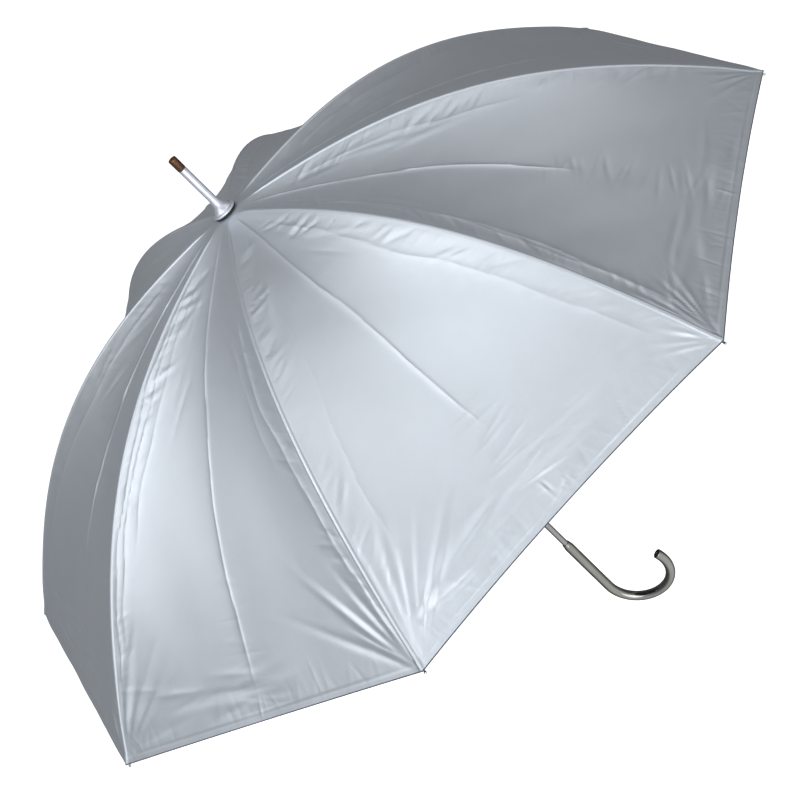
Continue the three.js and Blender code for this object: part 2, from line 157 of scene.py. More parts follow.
# Fans of creases at the rib tips: number of creases, shortest and longest reach, height.
TIP_FANS = {
    (0, -1): (8, 40, 110, 1.3),
    (0, 1): (13, 40, 110, 1.7),
    (1, -1): (8, 20, 60, 0.9),
    (1, 1): (13, 50, 130, 1.8),
    (2, -1): (11, 50, 130, 1.8),
    (2, 1): (9, 60, 130, 1.6),
}
USUAL_FAN = (9, 30, 100, 1.2)

# Creases pressed along a rib when the umbrella was folded: distance from the rib at mid length and at
# the tip, height, width, where it starts and where it ends.
SIDE_CREASES = {
    (0, -1): [(30, 26, 0.5, 3.5, 60, 360)],
    (0, 1): [(27, 20, 0.9, 4.0, 90, 585), (23, 15, 0.45, 2.5, 200, 560)],
    (1, -1): [(31, 24, 0.8, 4.0, 60, 560)],
    (1, 1): [(42, 34, 0.45, 3.5, 40, 520)],
    (2, -1): [(24, 4, 0.9, 3.5, 70, 590), (40, 34, 0.35, 3.0, 90, 380)],
    (2, 1): [(11, 8, 1.0, 2.2, 60, 540), (19, 15, 0.9, 2.4, 90, 500), (32, 30, 0.6, 3.0, 60, 400)],
}
USUAL_CREASES = [(30, 24, 0.6, 4.0, 80, 540)]

# The crease down a gore's middle: its height, where it fades out, the strength of the puckers that follow.
MIDDLES = {0: (1.4, 440, 1.0), 1: (1.4, 500, 0.8), 2: (0.8, 590, 0.3)}
USUAL_MIDDLE = (1.4, 480, 0.6)


class Wrinkles:
    """The folds and puckers of one gore, as heights over the smooth cloth.

    s runs along the rib from its pivot and x across the gore from its middle. Every kind of fold draws
    its place, length, width and height from ranges that suit it, in millimetres.
    """

    def __init__(self, gore):
        self.gore = gore
        self.rng = np.random.default_rng(40 + gore)
        self.ridges = []
        for side in (-1, 1):
            self.tip_fan(side)
            self.seam_puckers(side)
            self.fold_rungs(side)
            self.crown_folds(side)
        self.crease_height, self.crease_end, self.pucker = MIDDLES.get(gore, USUAL_MIDDLE)
        self.middle_puckers()
        self.hem_mark()
        self.hem_folds()
        self.hem_puckers()
        self.waves = [
            (self.rng.uniform(160, 420), self.rng.uniform(70, 190), self.rng.uniform(-0.5, 0.5),
             self.rng.uniform(0, 2 * math.pi), self.rng.uniform(0.04, 0.14))
            for _ in range(6)
        ]

    def add(self, s, x, angle, length, width, height):
        """One elongated bump, its long axis turned by angle from the direction along the rib."""
        self.ridges.append((s, x, math.cos(angle), math.sin(angle), length, width, height))

    def either_way(self, low, high):
        """A height between low and high, up or down."""
        return self.rng.uniform(low, high) * self.rng.choice([-1, 1])

    def half_width(self, s):
        """Half the gore's width."""
        return rib_point(s)[0] * math.sin(HALF_GORE)

    def tip_fan(self, side):
        """Creases that spread from the rib's tip, where the cloth is pulled."""
        rng = self.rng
        tip_x = side * self.half_width(RIB_LENGTH)
        count, shortest, longest, height = TIP_FANS.get((self.gore, side), USUAL_FAN)
        for i in range(count):
            spread = math.radians(5 + 54 * (i + rng.uniform(0.1, 0.9)) / count)
            reach = rng.uniform(shortest, longest)
            centre = 4 + 0.45 * reach
            ds, dx = math.cos(spread), math.sin(spread)
            sign = 1 if i % 2 else -0.8
            width = 1.8 + 0.022 * reach
            self.add(RIB_LENGTH - 3 - centre * ds, tip_x - side * (2 + centre * dx), side * spread,
                     reach * 0.48, width, sign * height * rng.uniform(0.6, 1.1))

    def seam_puckers(self, side):
        """Short creases that run out of the rib's seam at a slant."""
        rng = self.rng
        s = rng.uniform(70, 90)
        while s < RIB_LENGTH - 60:
            s += rng.uniform(7, 20)
            reach = rng.uniform(6, 15)
            slant = rng.uniform(0.9, 1.6)
            x = side * (self.half_width(s) - 2 - 0.6 * reach)
            self.add(s, x, side * slant, reach, rng.uniform(1.6, 3.0), rng.uniform(-0.35, 0.35))

    def fold_rungs(self, side):
        """Groups of creases between the seam and the crease beside it, like rungs."""
        rng = self.rng
        s = rng.uniform(50, 90)
        while s < RIB_LENGTH - 90:
            for _ in range(rng.integers(3, 8)):
                s += rng.uniform(9, 17)
                x = side * (self.half_width(s) - 17 - rng.uniform(-5, 5))
                self.add(s, x, side * rng.uniform(0.8, 1.3), rng.uniform(9, 15), rng.uniform(2.4, 4.2),
                         self.either_way(0.3, 0.8))
            s += rng.uniform(30, 90)

    def crown_folds(self, side):
        """Long shallow folds where the cloth runs up to the crown."""
        rng = self.rng
        for _ in range(6):
            s = rng.uniform(90, 260)
            x = side * rng.uniform(0.35, 0.8) * self.half_width(s)
            self.add(s, x, side * rng.uniform(0.15, 0.55), rng.uniform(22, 45), rng.uniform(2.6, 5.0),
                     self.either_way(0.15, 0.5))

    def middle_puckers(self):
        """Where the pressed crease down the middle ends, the cloth puckers across it."""
        rng = self.rng
        s = min(self.crease_end - 70, 420) + rng.uniform(0, 20)
        while s < RIB_LENGTH - 22:
            s += rng.uniform(8, 19)
            grown = (s - 340) / 250
            self.add(s, rng.uniform(-10, 10), math.pi / 2 + rng.uniform(-0.35, 0.35),
                     rng.uniform(6, 12) + 16 * grown, rng.uniform(2.0, 3.6),
                     self.pucker * self.either_way(0.3, 0.8))

    def hem_mark(self):
        """The short row of stitches in the middle: the strap's on gore 1, a tuck on the others."""
        if self.gore == 1:
            self.add(571, 3, 0.0, 5.5, 1.5, -1.0)
            self.add(571, 6.5, 0.0, 5.5, 1.8, 0.8)
        else:
            self.add(584, 0, 0.1, 9, 1.5, 0.6)

    def hem_folds(self):
        """Long folds that lie along the hem, deeper towards the second rib."""
        rng = self.rng
        half = self.half_width(RIB_LENGTH)
        for _ in range(16):
            x = rng.uniform(-0.35, 0.85) * half
            self.add(RIB_LENGTH - rng.uniform(14, 70), x, math.pi / 2 + rng.uniform(-0.25, 0.25),
                     rng.uniform(18, 42), rng.uniform(3.2, 6.5), self.either_way(0.3, 0.85))

    def hem_puckers(self):
        """Short creases that the hem's stitches draw in, all along it."""
        rng = self.rng
        half = self.half_width(RIB_LENGTH)
        x = -half + 12
        while x < half - 12:
            x += rng.uniform(6, 15)
            long = rng.uniform(6, 22)
            self.add(RIB_LENGTH - 10 - 0.5 * long, x, rng.uniform(-0.5, 0.5), long,
                     rng.uniform(1.6, 3.2), self.either_way(0.05, 0.28))

    def height(self, s, x):
        """All of the gore's folds together. Near the ribs, where the gores meet, they run out."""
        from_rib = self.half_width(s) - np.abs(x)
        total = np.zeros_like(s)
        for ridge_s, ridge_x, cos, sin, length, width, high in self.ridges:
            ds, dx = s - ridge_s, x - ridge_x
            reach = 2.6 * length + 3 * width
            near = (np.abs(ds) < reach) & (np.abs(dx) < reach)
            if not near.any():
                continue
            along = ds[near] * cos + dx[near] * sin
            across = -ds[near] * sin + dx[near] * cos
            total[near] += high * np.exp(-(along / length) ** 2 - (across / width) ** 2)
        for long, wide, skew, phase, high in self.waves:
            turns = s / long + (x + skew * s) / wide
            total += high * np.sin(2 * math.pi * turns + phase) * smooth(60, 240, s)
        total *= smooth(2.0, 9.0, from_rib)
        total += self.creases(s, x, from_rib) * smooth(1.5, 5.0, from_rib)
        total += self.hem(s)
        return total

    def creases(self, s, x, from_rib):
        """The fold pressed down the middle and the folds beside each rib."""
        middle = smooth(12, 60, s) * (1 - smooth(self.crease_end - 90, self.crease_end, s))
        beyond = x + 1.2 * np.sin(s / 37.0)
        total = self.crease_height * np.exp(-np.abs(beyond) / np.where(beyond < 0, 1.5, 2.6)) * middle
        for side in (-1, 1):
            for mid, tip, high, width, start, end in SIDE_CREASES.get((self.gore, side), USUAL_CREASES):
                u = s / RIB_LENGTH
                inner_line = mid * np.minimum(1.0, 0.3 + 1.6 * u)
                outer_line = mid + (tip - mid) * (2 * u - 1).clip(0, 1)
                line = np.minimum(inner_line, outer_line)
                wander = 1.5 * np.sin(s / 31.0 + mid) + 0.8 * np.sin(s / 13.0 + tip)
                shown = smooth(start, start + 50, s) * (1 - smooth(end - 60, end, s)) * (x * side > 0)
                away = np.abs(from_rib - line - wander * smooth(60, 200, s))
                total += high * np.exp(-away / width) * shown
        return total

    def hem(self, s):
        """The doubled hem and the groove of its stitches."""
        edge = RIB_LENGTH - s
        return 0.55 * (1 - smooth(9.0, 10.4, edge)) - 0.40 * np.exp(-((edge - 8.0) / 1.0) ** 2)


# ---- The cloth ------------------------------------------------------------------------------

WRINKLES = [Wrinkles(g) for g in range(RIB_COUNT)]


def cloth_point(gore, s, v, lift, wrinkled=True):
    """Points of a gore, in the frame of the rib it starts from, v from 0 to 1 across it.

    The cloth sags between its ribs, is rounded over them and carries their seams. Its hem is cut hollow.
    """
    u = np.clip(s / RIB_LENGTH, 0.0, 1.0)
    slope = rib_slope(s)
    scoop = HEM_SCOOPS[gore] * 4 * v * (1 - v) * np.maximum(0.0, u - 0.6) / 0.4
    r, z = rib_point(s - scoop)
    x = r * (1 - v) + r * math.cos(GORE) * v
    y = r * math.sin(GORE) * v
    free = np.clip((s - SAG_START) / (RIB_LENGTH - SAG_START), 0.0, 1.0)
    dip = GORE_SAG * np.sin(math.pi * free ** 0.85)
    half = r * math.sin(HALF_GORE)
    across = (2 * v - 1) * half
    d = half - np.abs(across)
    rise = lift - dip * 4 * v * (1 - v) - TIP_DRAW * smooth(545, 590, s) * np.exp(-((d / 26) ** 2))
    fall = RIDGE_FALL * np.sin(slope) + 2 * dip / np.maximum(half, 6.0)
    rounded = d - np.sqrt(d * d + RIDGE_ROUND ** 2) + RIDGE_ROUND
    rise = rise + fall * rounded * np.exp(-d / 30.0)
    seam = 1 - smooth(SEAM_HALF, SEAM_HALF + SEAM_SHOULDER, d)
    rise = rise + SEAM_HEIGHT * seam * smooth(14, 40, s)
    if wrinkled:
        rise = rise + WRINKLES[gore].height(s, across)
    turn = v * GORE
    return np.stack([
        x + np.sin(slope) * np.cos(turn) * rise,
        y + np.sin(slope) * np.sin(turn) * rise,
        z + np.cos(slope) * rise,
    ], axis=-1)


def turned_z(points, angle):
    """Points turned about the shaft."""
    c, s = math.cos(angle), math.sin(angle)
    return points @ np.array([[c, s, 0], [-s, c, 0], [0, 0, 1]])


def turn_down(angle, centre):
    """4x4 matrix that turns about the tangential axis through centre, positive when closing."""
    c, s = math.cos(angle), math.sin(angle)
    turn = np.array([[c, 0, s, 0], [0, 1, 0, 0], [-s, 0, c, 0], [0, 0, 0, 1]])
    there, back = np.eye(4), np.eye(4)
    there[:3, 3], back[:3, 3] = centre, -np.array(centre)
    return there @ turn @ back


FLEX_POINT = np.array([rib_point(FLEX_AT)[0], 0.0, rib_point(FLEX_AT)[1]])
FLEX_ALONG = np.array([math.cos(rib_slope(FLEX_AT)), 0.0, -math.sin(rib_slope(FLEX_AT))])
CLOSE_INNER = turn_down(CLOSE_ANGLE, (PIVOT_RADIUS, 0.0, 0.0))
CLOSE_OUTER = CLOSE_INNER @ turn_down(-FLEX_ANGLE, FLEX_POINT)


def pleat_plane(closing, side):
    """The plane a half gore folds into, as unit normal and point in the rib's frame at rest."""
    away = side * math.copysign(1.0, GORE)
    normal = np.array([-math.sin(HALF_GORE), away * math.cos(HALF_GORE), -PLEAT_SPREAD])
    level = -PLEAT_GAP
    size = np.linalg.norm(normal)
    normal, level = normal / size, level / size
    spin = closing[:3, :3]
    at_rest = spin.T @ normal
    return at_rest, spin.T @ (normal * level - closing[:3, 3])


def half_gore_point(k, side, s, v, lift, wrinkled=True):
    """Points of the half gore beside rib k, in that rib's frame, v from 0 at the rib to 0.5."""
    if side > 0:
        return cloth_point((k - 1) % RIB_COUNT, s, v, lift, wrinkled)
    return turned_z(cloth_point((k - 2) % RIB_COUNT, s, 1 - v, lift, wrinkled), -GORE)


PROBE_V = np.linspace(0.0, 0.5, 251)
CUT_S = np.linspace(-12.0, RIB_LENGTH, 123)


def pleat_roots(closing):
    """For each s, the v at which the cloth crosses its pleat's plane."""
    normal, point = pleat_plane(closing, 1)
    roots = []
    for s in CUT_S:
        probes = half_gore_point(1, 1, np.full_like(PROBE_V, s), PROBE_V, CLOTH_TOP, False)
        off = (probes - point) @ normal
        crossed = np.nonzero(off > 0)[0]
        roots.append(PROBE_V[crossed[0]] if len(crossed) else 0.5)
    return np.clip(np.array(roots), 0.003, 0.46)


def flex_cut():
    """For each v, the s at which the cloth passes over the rib's flexing point."""
    s = np.linspace(FLEX_AT - 25, FLEX_AT + 70, 400)
    found = []
    for v in PROBE_V:
        probes = half_gore_point(1, 1, s, np.full_like(s, v), CLOTH_TOP, False)
        found.append(np.interp(0.0, (probes - FLEX_POINT) @ FLEX_ALONG, s))
    return np.array(found)


ROOTS = {"inner": pleat_roots(CLOSE_INNER), "outer": pleat_roots(CLOSE_OUTER)}
FLEX_CUT = flex_cut()


def lay_grid(zone, part, rows, columns):
    """s and v of a grid on one half gore: rows along the rib, columns from the rib outwards.

    The cut at the flexing point depends on v and the pleat's root on s, so they are found in turns.
    """
    t = rows[:, None] + 0 * columns[None, :]
    e = columns[None, :] + 0 * rows[:, None]

    def along(v):
        cut = np.interp(v, PROBE_V, FLEX_CUT)
        if zone == "inner":
            return CLOTH_START + (cut - CLOTH_START) * t
        return cut + (RIB_LENGTH - cut) * t

    v = np.zeros_like(t)
    for _ in range(6):
        s = along(v)
        root = np.interp(s, CUT_S, ROOTS[zone])
        v = root * e if part == "band" else root + (0.5 - root) * e
    return s, v


def shell(name, grids, material_slots, dark_rows=0):
    """A mesh of outer and lining grids with one closed rim; the last dark_rows show the lining."""
    outside, lining, uv, normals = grids
    rows, columns = outside.shape[:2]
    layer = rows * columns
    points = np.concatenate([outside.reshape(-1, 3), lining.reshape(-1, 3)])
    at = np.arange(layer).reshape(rows, columns)
    a, b, c, d = at[:-1, :-1], at[:-1, 1:], at[1:, 1:], at[1:, :-1]
    top = np.stack([a, d, c, b], axis=-1).reshape(-1, 4)
    faces = [top, top[:, ::-1] + layer]
    rim = np.concatenate([at[0, :], at[1:, -1], at[-1, -2::-1], at[-2:0:-1, 0]])
    after = np.roll(rim, -1)
    faces.append(np.stack([rim, after, after + layer, rim + layer], axis=-1))
    faces = np.concatenate(faces)
    first, second, third = top[len(top) // 2][:3]
    corner = points[first]
    upward = np.cross(points[second] - corner, points[third] - corner) @ (corner - points[first + layer])
    if upward < 0:
        faces = faces[:, ::-1]
    mesh = bpy.data.meshes.new(name)
    mesh.vertices.add(len(points))
    mesh.vertices.foreach_set("co", (points * MM).ravel())
    mesh.loops.add(faces.size)
    mesh.loops.foreach_set("vertex_index", faces.ravel().astype(np.int32))
    mesh.polygons.add(len(faces))
    mesh.polygons.foreach_set("loop_start", np.arange(0, faces.size, 4, dtype=np.int32))
    mesh.polygons.foreach_set("loop_total", np.full(len(faces), 4, dtype=np.int32))
    index = np.full(len(faces), 1, dtype=np.int32)
    index[:len(top) - dark_rows * (columns - 1)] = 0
    mesh.polygons.foreach_set("material_index", index)
    mesh.update(calc_edges=True)
    layer_uv = mesh.uv_layers.new(name="cloth")
    both = np.concatenate([uv.reshape(-1, 2), uv.reshape(-1, 2)]) * MM
    layer_uv.data.foreach_set("uv", both[faces.ravel()].ravel().astype(np.float32))
    for material in material_slots:
        mesh.materials.append(material)
    mesh.polygons.foreach_set("use_smooth", np.ones(len(faces), dtype=bool))
    # A zero normal leaves the rim's own.
    corner_normals = np.concatenate([normals.reshape(-1, 3), -normals.reshape(-1, 3)])[faces.ravel()]
    corner_normals[4 * 2 * len(top):] = 0.0
    mesh.update()
    mesh.normals_split_custom_set(corner_normals.tolist())
    made = bpy.data.objects.new(name, mesh)
    bpy.context.scene.collection.objects.link(made)
    return made


def cloth_normals(k, side, s, v):
    """Unit normals of the wrinkled cloth, from small steps along and across it."""
    step = 0.6
    half = np.maximum(rib_point(s)[0] * math.sin(HALF_GORE), 2.0)
    dv = step / (2 * half)
    s_low, s_high = s - step, np.minimum(s + step, RIB_LENGTH)
    along = half_gore_point(k, side, s_high, v, CLOTH_TOP) - half_gore_point(k, side, s_low, v, CLOTH_TOP)
    v_high, v_low = np.minimum(v + dv, 0.5), np.maximum(v - dv, 0.0)
    across = half_gore_point(k, side, s, v_high, CLOTH_TOP) - half_gore_point(k, side, s, v_low, CLOTH_TOP)
    normals = np.cross(along, across)
    normals /= np.linalg.norm(normals, axis=-1, keepdims=True)
    normals = normals * np.where(normals[..., 2:3] < 0, -1.0, 1.0)
    # Right over the rib both sides take the rib's own upward direction, so that no edge shows.
    edge = np.exp(-v * 2 * half / 0.8)[..., None]
    slope = rib_slope(s)
    ridge = np.stack([np.sin(slope), np.zeros_like(slope), np.cos(slope)], axis=-1)
    normals = normals * (1 - edge) + ridge * edge
    return normals / np.linalg.norm(normals, axis=-1, keepdims=True)


def half_gore_grid(k, side, zone, part, rows, columns):
    """Points, normals and cloth coordinates of a grid on one half gore."""
    s, v = lay_grid(zone, part, rows, columns)
    top = half_gore_point(k, side, s, v, CLOTH_TOP)
    normals = cloth_normals(k, side, s, v)
    half = rib_point(s)[0] * math.sin(HALF_GORE)
    uv = np.stack([side * 2 * v * half, s], axis=-1)
    return top, normals, uv


def placed(points, k):
    """From rib k's frame to the shared frame, still in millimetres."""
    return turned_z(points, rib_angle(k)) + np.array([0.0, 0.0, CROWN_Z])


HEM_EDGE = 1.3 / (RIB_LENGTH - FLEX_AT)     # the turned edge, as a share of the outer cloth
ROWS = {
    "inner": np.linspace(0, 1, 84),
    "outer": np.append(np.linspace(0, 1 - HEM_EDGE, 132), 1.0),
}
BAND_COLUMNS = np.array([0.0, 0.08, 0.15, 0.19, 0.24, 0.30, 0.42, 0.56, 0.7, 0.85, 1.0])
GORE_COLUMNS = {"inner": np.linspace(0, 1, 38), "outer": np.linspace(0, 1, 76)}


def make_cloth(k, zone, part, side, materials):
    """One piece of the canopy: the band over rib k, or the half gore on one side of it."""
    rows = ROWS[zone]
    if part == "band":
        near = half_gore_grid(k, -1, zone, part, rows, BAND_COLUMNS[:0:-1])
        far = half_gore_grid(k, 1, zone, part, rows, BAND_COLUMNS)
        top, normals, uv = (np.concatenate([a, b], axis=1) for a, b in zip(near, far))
        name = f"cloth_band_{zone}_{k}"
    else:
        top, normals, uv = half_gore_grid(k, side, zone, part, rows, GORE_COLUMNS[zone])
        name = f"cloth_gore_{zone}_{k}{'a' if side > 0 else 'b'}"
    lining = top - normals * SHELL_DEPTH
    if zone == "outer":
        # The outer cloth goes on a little way under the inner, which hides the joint when it folds.
        depth = SHELL_DEPTH + LAP_GAP
        aside = np.abs(uv[0, :, 0])
        reach = 3.0 + 13.0 * aside / aside.max() if part == "gore" else 0.8 + 0.22 * aside
        back = np.stack([np.zeros_like(reach), -reach], axis=-1)
        direction = top[1] - top[0]
        direction /= np.linalg.norm(direction, axis=-1, keepdims=True)
        under = [top[0] - normals[0] * depth - direction * reach[:, None] * share for share in (1.0, 0.5)]
        under.append(top[0] - normals[0] * depth * 0.98)
        top = np.concatenate([np.stack(under), top])
        lining = np.concatenate([np.stack([row - normals[0] * LAP_THICKNESS for row in under]), lining])
        normals = np.concatenate([np.stack([normals[0]] * 3), normals])
        uv = np.concatenate([np.stack([uv[0] + back, uv[0] + 0.5 * back, uv[0]]), uv])
    spin = rib_angle(k)
    grids = (placed(top, k), placed(lining, k), uv, turned_z(normals, spin))
    piece = shell(name, grids, materials, dark_rows=1 if zone == "outer" else 0)
    body = f"rib_{k}" if zone == "inner" else f"rib_end_{k}"
    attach(piece, body)
    if part == "gore":
        pleat(piece)
    declare(top)
    return piece


def pleat(piece):
    """Gives the piece a mesh of its own."""
    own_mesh(piece)


def declare(grid):
    """Works out what size a piece of cloth was cut to, measured along its own grid; the result is not kept."""
    along = np.linalg.norm(np.diff(grid, axis=0), axis=-1).sum(axis=0).max()
    across = np.linalg.norm(np.diff(grid, axis=1), axis=-1).sum(axis=1).max()
    a, b = grid[:-1, :-1], grid[1:, 1:]
    c, d = grid[:-1, 1:], grid[1:, :-1]
    area = 0.5 * np.linalg.norm(np.cross(b - a, d - c), axis=-1).sum()
    width, length = round(across * MM, 3), round(along * MM, 3)
    area = min(max(area * MM * MM, 0.301 * width * length), width * length)


# ---- Materials ------------------------------------------------------------------------------


class Shader:
    """A small helper that builds one node material around a Principled shader."""

    def __init__(self, name, color, roughness, metallic=0.0):
        self.material = bpy.data.materials.new(name)
        self.material.use_nodes = True
        self.nodes = self.material.node_tree.nodes
        self.links = self.material.node_tree.links
        self.body = self.nodes["Principled BSDF"]
        self.body.inputs["Base Color"].default_value = (*color, 1.0)
        self.body.inputs["Roughness"].default_value = roughness
        self.body.inputs["Metallic"].default_value = metallic

    def node(self, kind, **values):
        """A new node, with each value put on the socket or the setting of that name."""
        made = self.nodes.new(kind)
        for key, value in values.items():
            if key in made.inputs:
                made.inputs[key].default_value = value
            else:
                setattr(made, key, value)
        return made

    def coordinates(self, use_uv=False, scale=(1.0, 1.0, 1.0)):
        source = self.node("ShaderNodeTexCoord")
        spread = self.node("ShaderNodeMapping", Scale=scale)
        self.links.new(source.outputs["UV" if use_uv else "Object"], spread.inputs["Vector"])
        return spread.outputs["Vector"]

    def noise(self, scale, detail=3.0, stretch=(1.0, 1.0, 1.0), use_uv=False):
        made = self.node("ShaderNodeTexNoise", Scale=scale, Detail=detail, Roughness=0.55)
        self.links.new(self.coordinates(use_uv, stretch), made.inputs["Vector"])
        return made.outputs["Fac"]

    def remap(self, value, low, high):
        """A noise's middle half, spread from low to high."""
        made = self.node("ShaderNodeMapRange")
        made.inputs["To Min"].default_value = low
        made.inputs["To Max"].default_value = high
        made.inputs["From Min"].default_value = 0.25
        made.inputs["From Max"].default_value = 0.75
        self.links.new(value, made.inputs["Value"])
        return made.outputs["Result"]

    def vary_roughness(self, value, low, high):
        self.links.new(self.remap(value, low, high), self.body.inputs["Roughness"])

    def vary_color(self, value, dark, light):
        mix = self.node("ShaderNodeMix", data_type="RGBA")
        mix.inputs[6].default_value = (*dark, 1.0)
        mix.inputs[7].default_value = (*light, 1.0)
        self.links.new(self.remap(value, 0.0, 1.0), mix.inputs[0])
        self.links.new(mix.outputs[2], self.body.inputs["Base Color"])

    def bump(self, height, distance, strength=1.0):
        """Adds a bump on top of those that are there."""
        made = self.node("ShaderNodeBump", Distance=distance, Strength=strength)
        self.links.new(height, made.inputs["Height"])
        before = self.body.inputs["Normal"].links
        if before:
            self.links.new(before[0].from_socket, made.inputs["Normal"])
        self.links.new(made.outputs["Normal"], self.body.inputs["Normal"])


THREAD = 0.0045
STITCH_PITCH = 0.003
STITCH_HALF_WIDTH = 0.00035


def weave(shader, thread, distance):
    """The over and under of a plain weave, threads along and across the cloth."""
    for direction in ("X", "Y"):
        wave = shader.node("ShaderNodeTexWave", Scale=1.0 / thread, bands_direction=direction)
        shader.links.new(shader.coordinates(True), wave.inputs["Vector"])
        shader.bump(wave.outputs["Fac"], distance)


def stitches(shader, at, pitch):
    """A row of small stitches in the cloth's own coordinates, at this distance from the seam."""
    split = shader.node("ShaderNodeSeparateXYZ")
    shader.links.new(shader.coordinates(True), split.inputs["Vector"])

    def math_node(kind, first, second=0.0):
        made = shader.node("ShaderNodeMath", operation=kind)
        shader.links.new(first, made.inputs[0])
        if isinstance(second, float):
            made.inputs[1].default_value = second
        else:
            shader.links.new(second, made.inputs[1])
        return made.outputs["Value"]

    away = math_node("ABSOLUTE", split.outputs["X"])
    row = math_node("COMPARE", math_node("SUBTRACT", away, at), 0.0)
    row.node.inputs[2].default_value = STITCH_HALF_WIDTH
    wave = math_node("SINE", math_node("MULTIPLY", split.outputs["Y"], 2 * math.pi / pitch))
    gap = math_node("GREATER_THAN", wave, -0.55)
    return math_node("MULTIPLY", row, gap)


def silver_cloth():
    made = Shader("silver_cloth", (0.70, 0.74, 0.79), 0.44, 0.72)
    made.vary_color(made.noise(7.0, 4.0), (0.67, 0.715, 0.765), (0.72, 0.76, 0.81))
    made.vary_roughness(made.noise(60.0, 3.0, use_uv=True), 0.41, 0.48)
    weave(made, THREAD, 0.00002)
    made.bump(made.noise(38.0, 3.0, use_uv=True), 0.0007, 0.28)
    made.bump(stitches(made, SEAM_HALF * MM, STITCH_PITCH), 0.0002, 0.8)
    return made.material


def lining_cloth(name):
    made = Shader(name, (0.07, 0.085, 0.13), 0.75)
    made.vary_color(made.noise(14.0), (0.055, 0.07, 0.11), (0.085, 0.10, 0.15))
    made.body.inputs["Sheen Weight"].default_value = 0.3
    weave(made, THREAD, 0.00003)
    return made.material


def metal(name, color, roughness, grain=(1.0, 1.0, 1.0), wear=0.06, metallic=1.0, scratches=0.15):
    made = Shader(name, color, roughness, metallic)
    dark = tuple(0.86 * c for c in color)
    made.vary_color(made.noise(40.0, 3.0, stretch=grain), dark, color)
    made.vary_roughness(made.noise(220.0, 4.0, stretch=grain), max(roughness - wear, 0.05), roughness + wear)
    made.bump(made.noise(500.0, 2.0, stretch=grain), 0.00001, scratches)
    return made.material


def plastic(name, color, roughness):
    made = Shader(name, color, roughness)
    made.vary_roughness(made.noise(300.0), roughness - 0.08, roughness + 0.08)
    made.bump(made.noise(900.0, 2.0), 0.00003, 0.5)
    return made.material


silver = silver_cloth()
lining = lining_cloth("lining_cloth")
webbing = lining_cloth("strap_cloth")
nickel = metal("handle_nickel", (0.38, 0.37, 0.34), 0.14, wear=0.03)
shaft_metal = metal("shaft_nickel", (0.42, 0.415, 0.40), 0.2, grain=(1.0, 1.0, 0.08), wear=0.04)
aluminium = metal("ferrule_satin", (0.82, 0.84, 0.93), 0.27, grain=(0.3, 0.3, 1.5), wear=0.012, metallic=0.6,
                  scratches=0.03)
bronze = metal("tip_bronze_polish", (0.17, 0.085, 0.045), 0.22, metallic=0.85, scratches=0.04)
zinc = metal("rib_zinc", (0.46, 0.47, 0.48), 0.34, wear=0.1)
bright_wire = metal("wire_bright", (0.6, 0.6, 0.6), 0.25)
black = plastic("black_nylon", (0.018, 0.018, 0.02), 0.42)

CAD_LOOKS = {
    "canopy_fabric": silver,
    "lining_fabric": lining,
    "handle_metal": nickel,
    "shaft_steel": shaft_metal,
    "ferrule_aluminium": aluminium,
    "tip_bronze": bronze,
    "black_plastic": black,
    "rib_steel": zinc,
    "tip_metal": bright_wire,
    "wire_steel": bright_wire,
}


SMOOTH_UP_TO = math.radians(32)


def dress_cad_nodes():
    """The CAD solids that stay visible get their looks and soft shading."""
    for part in frame["record"]["subparts"]:
        node = frame["nodes"][part["node"]]
        look = CAD_LOOKS[part["material_slot"]]
        node.data.materials.clear()
        node.data.materials.append(look)
        node.data.shade_smooth()
        node.data.set_sharp_from_angle(angle=SMOOTH_UP_TO)


# ---- Turned pieces and tubes ----------------------------------------------------------------


SHARP_EDGE = math.radians(50)


def arc(centre, radius, start, end, steps):
    """Points of (radius, height) round a centre, angles in degrees."""
    return [
        (centre[0] + radius * math.cos(math.radians(a)), centre[1] + radius * math.sin(math.radians(a)))
        for a in np.linspace(start, end, steps)
    ]


def lathe(name, outline, look, sides=64):
    """A turned piece about Z from a closed outline of (radius, height), in millimetres."""
    outline = np.array(outline, float)
    angles = np.linspace(0, 2 * math.pi, sides, endpoint=False)
    rows = len(outline)
    points = np.stack([
        outline[:, None, 0] * np.cos(angles),
        outline[:, None, 0] * np.sin(angles),
        outline[:, None, 1] + 0 * angles,
    ], axis=-1).reshape(-1, 3)
    faces = []
    for i in range(rows):
        j = (i + 1) % rows
        if outline[i, 0] < 1e-6 and outline[j, 0] < 1e-6:
            continue
        for a in range(sides):
            b = (a + 1) % sides
            faces.append([i * sides + a, i * sides + b, j * sides + b, j * sides + a])
    return finished(name, points, faces, look)


def finished(name, points, faces, look):
    """A mesh piece with doubled points joined, faces out and only real edges sharp."""
    mesh = bpy.data.meshes.new(name)
    mesh.from_pydata([tuple(p) for p in np.asarray(points) * MM], [], [list(f) for f in faces])
    work = bmesh.new()
    work.from_mesh(mesh)
    bmesh.ops.remove_doubles(work, verts=work.verts, dist=1e-6)
    bmesh.ops.dissolve_degenerate(work, edges=work.edges, dist=1e-7)
    bmesh.ops.recalc_face_normals(work, faces=work.faces)
    for face in work.faces:
        face.smooth = True
    for edge in work.edges:
        edge.smooth = len(edge.link_faces) == 2 and edge.calc_face_angle(0.0) < SHARP_EDGE
    work.to_mesh(mesh)
    work.free()
    mesh.materials.append(look)
    made = bpy.data.objects.new(name, mesh)
    bpy.context.scene.collection.objects.link(made)
    return made


def lifted(outline, height):
    """An outline moved up the shaft."""
    return [(r, z + height) for r, z in outline]


# ---- Ferrule, cap and washer ----------------------------------------------------------------


